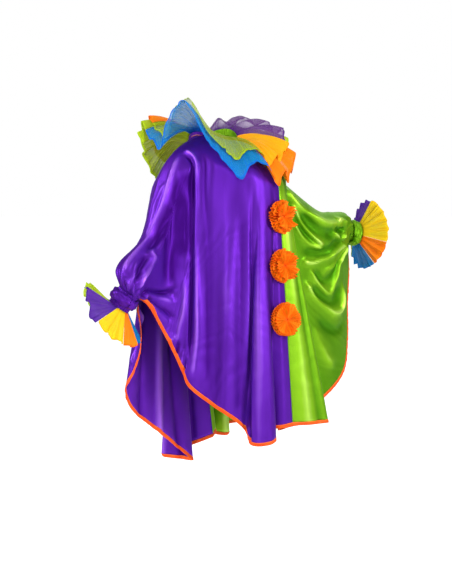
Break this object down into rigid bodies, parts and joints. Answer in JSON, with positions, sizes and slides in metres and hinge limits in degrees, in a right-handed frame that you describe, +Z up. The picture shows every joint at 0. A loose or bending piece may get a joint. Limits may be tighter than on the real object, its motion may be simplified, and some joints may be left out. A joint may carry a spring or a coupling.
{
  "type": "clown costume",
  "caption": "Worn two-colour satin clown poncho with bound wavy hem, gathered cuffs, tulle neck ruff, wrist frills and pompoms on the front seam.",
  "frame": {"origin": "middle of the neck opening at the height of its front edge, where the wearer's neck and shoulders hold the garment", "axes": "+Z up, -Y is the garment's front, +X is the wearer's left; the left arm reaches out along +X and the right arm hangs out to -X"},
  "size_m": [1.3917, 0.6468, 1.2425],
  "materials": {
    "satin_purple": "satin, glossy",
    "satin_green": "satin, glossy",
    "binding_orange": "matte bias tape",
    "tulle_blue": "sheer tulle",
    "tulle_lime": "sheer tulle",
    "tulle_orange": "sheer tulle",
    "tulle_yellow": "sheer tulle",
    "tulle_purple": "sheer tulle",
    "pompom_orange": "gathered tulle"
  },
  "bodies": {
    "root": {"back_left": "satin_green", "back_right": "satin_purple", "binding_back": "binding_orange", "binding_front": "binding_orange", "cuff_left": "satin_green", "cuff_right": "satin_purple", "frill_left_blue": "tulle_blue", "frill_left_lime": "tulle_lime", "frill_left_orange": "tulle_orange", "frill_left_purple": "tulle_purple", "frill_left_yellow": "tulle_yellow", "frill_right_blue": "tulle_blue", "frill_right_lime": "tulle_lime", "frill_right_orange": "tulle_orange", "frill_right_purple": "tulle_purple", "frill_right_yellow": "tulle_yellow", "front_left": "satin_green", "front_right": "satin_purple", "neck_band_left": "satin_green", "neck_band_right": "satin_purple", "pompom_bottom": "pompom_orange", "pompom_middle": "pompom_orange", "pompom_top": "pompom_orange", "ruff_back_lower": "tulle_lime", "ruff_back_upper": "tulle_orange", "ruff_front_lower": "tulle_orange", "ruff_front_upper": "tulle_yellow", "ruff_left_lower": "tulle_lime", "ruff_left_upper": "tulle_purple", "ruff_right_lower": "tulle_blue", "ruff_right_upper": "tulle_lime", "tie_left": "satin_green", "tie_right": "satin_purple"}
  },
  "joints": []
}
